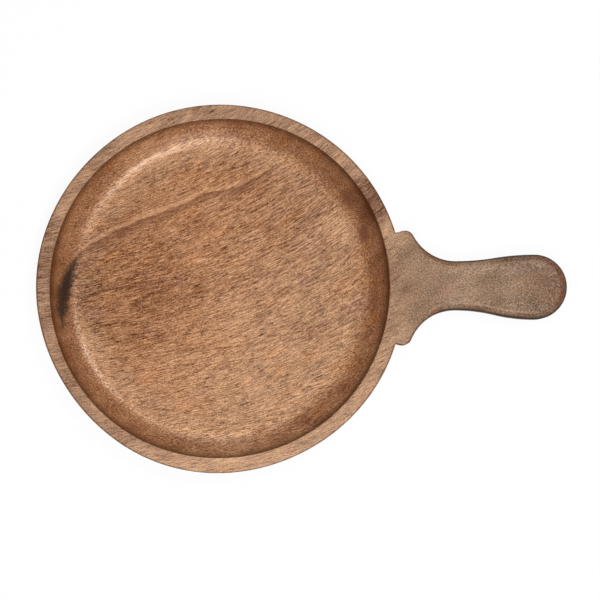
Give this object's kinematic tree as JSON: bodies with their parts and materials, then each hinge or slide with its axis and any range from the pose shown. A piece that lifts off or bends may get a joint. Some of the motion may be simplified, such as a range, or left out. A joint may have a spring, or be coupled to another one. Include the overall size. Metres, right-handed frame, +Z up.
{
  "type": "pizza serving board",
  "caption": "Round wooden serving board with a raised rim round a shallow turned well, and a short shaped paddle handle with a scrolled ear on each side of its root.",
  "frame": {"origin": "centre of the disc on its flat underside, which is the face that the board rests on", "axes": "+X from the disc's centre out along the handle, +Y to the left as seen looking down the handle, +Z up out of the well"},
  "size_m": [0.4393, 0.305, 0.025],
  "materials": {
    "oiled_wood": "oiled hardwood, satin in the well and drier on the rim and the handle"
  },
  "bodies": {
    "root": {"board": "oiled_wood"}
  },
  "joints": []
}
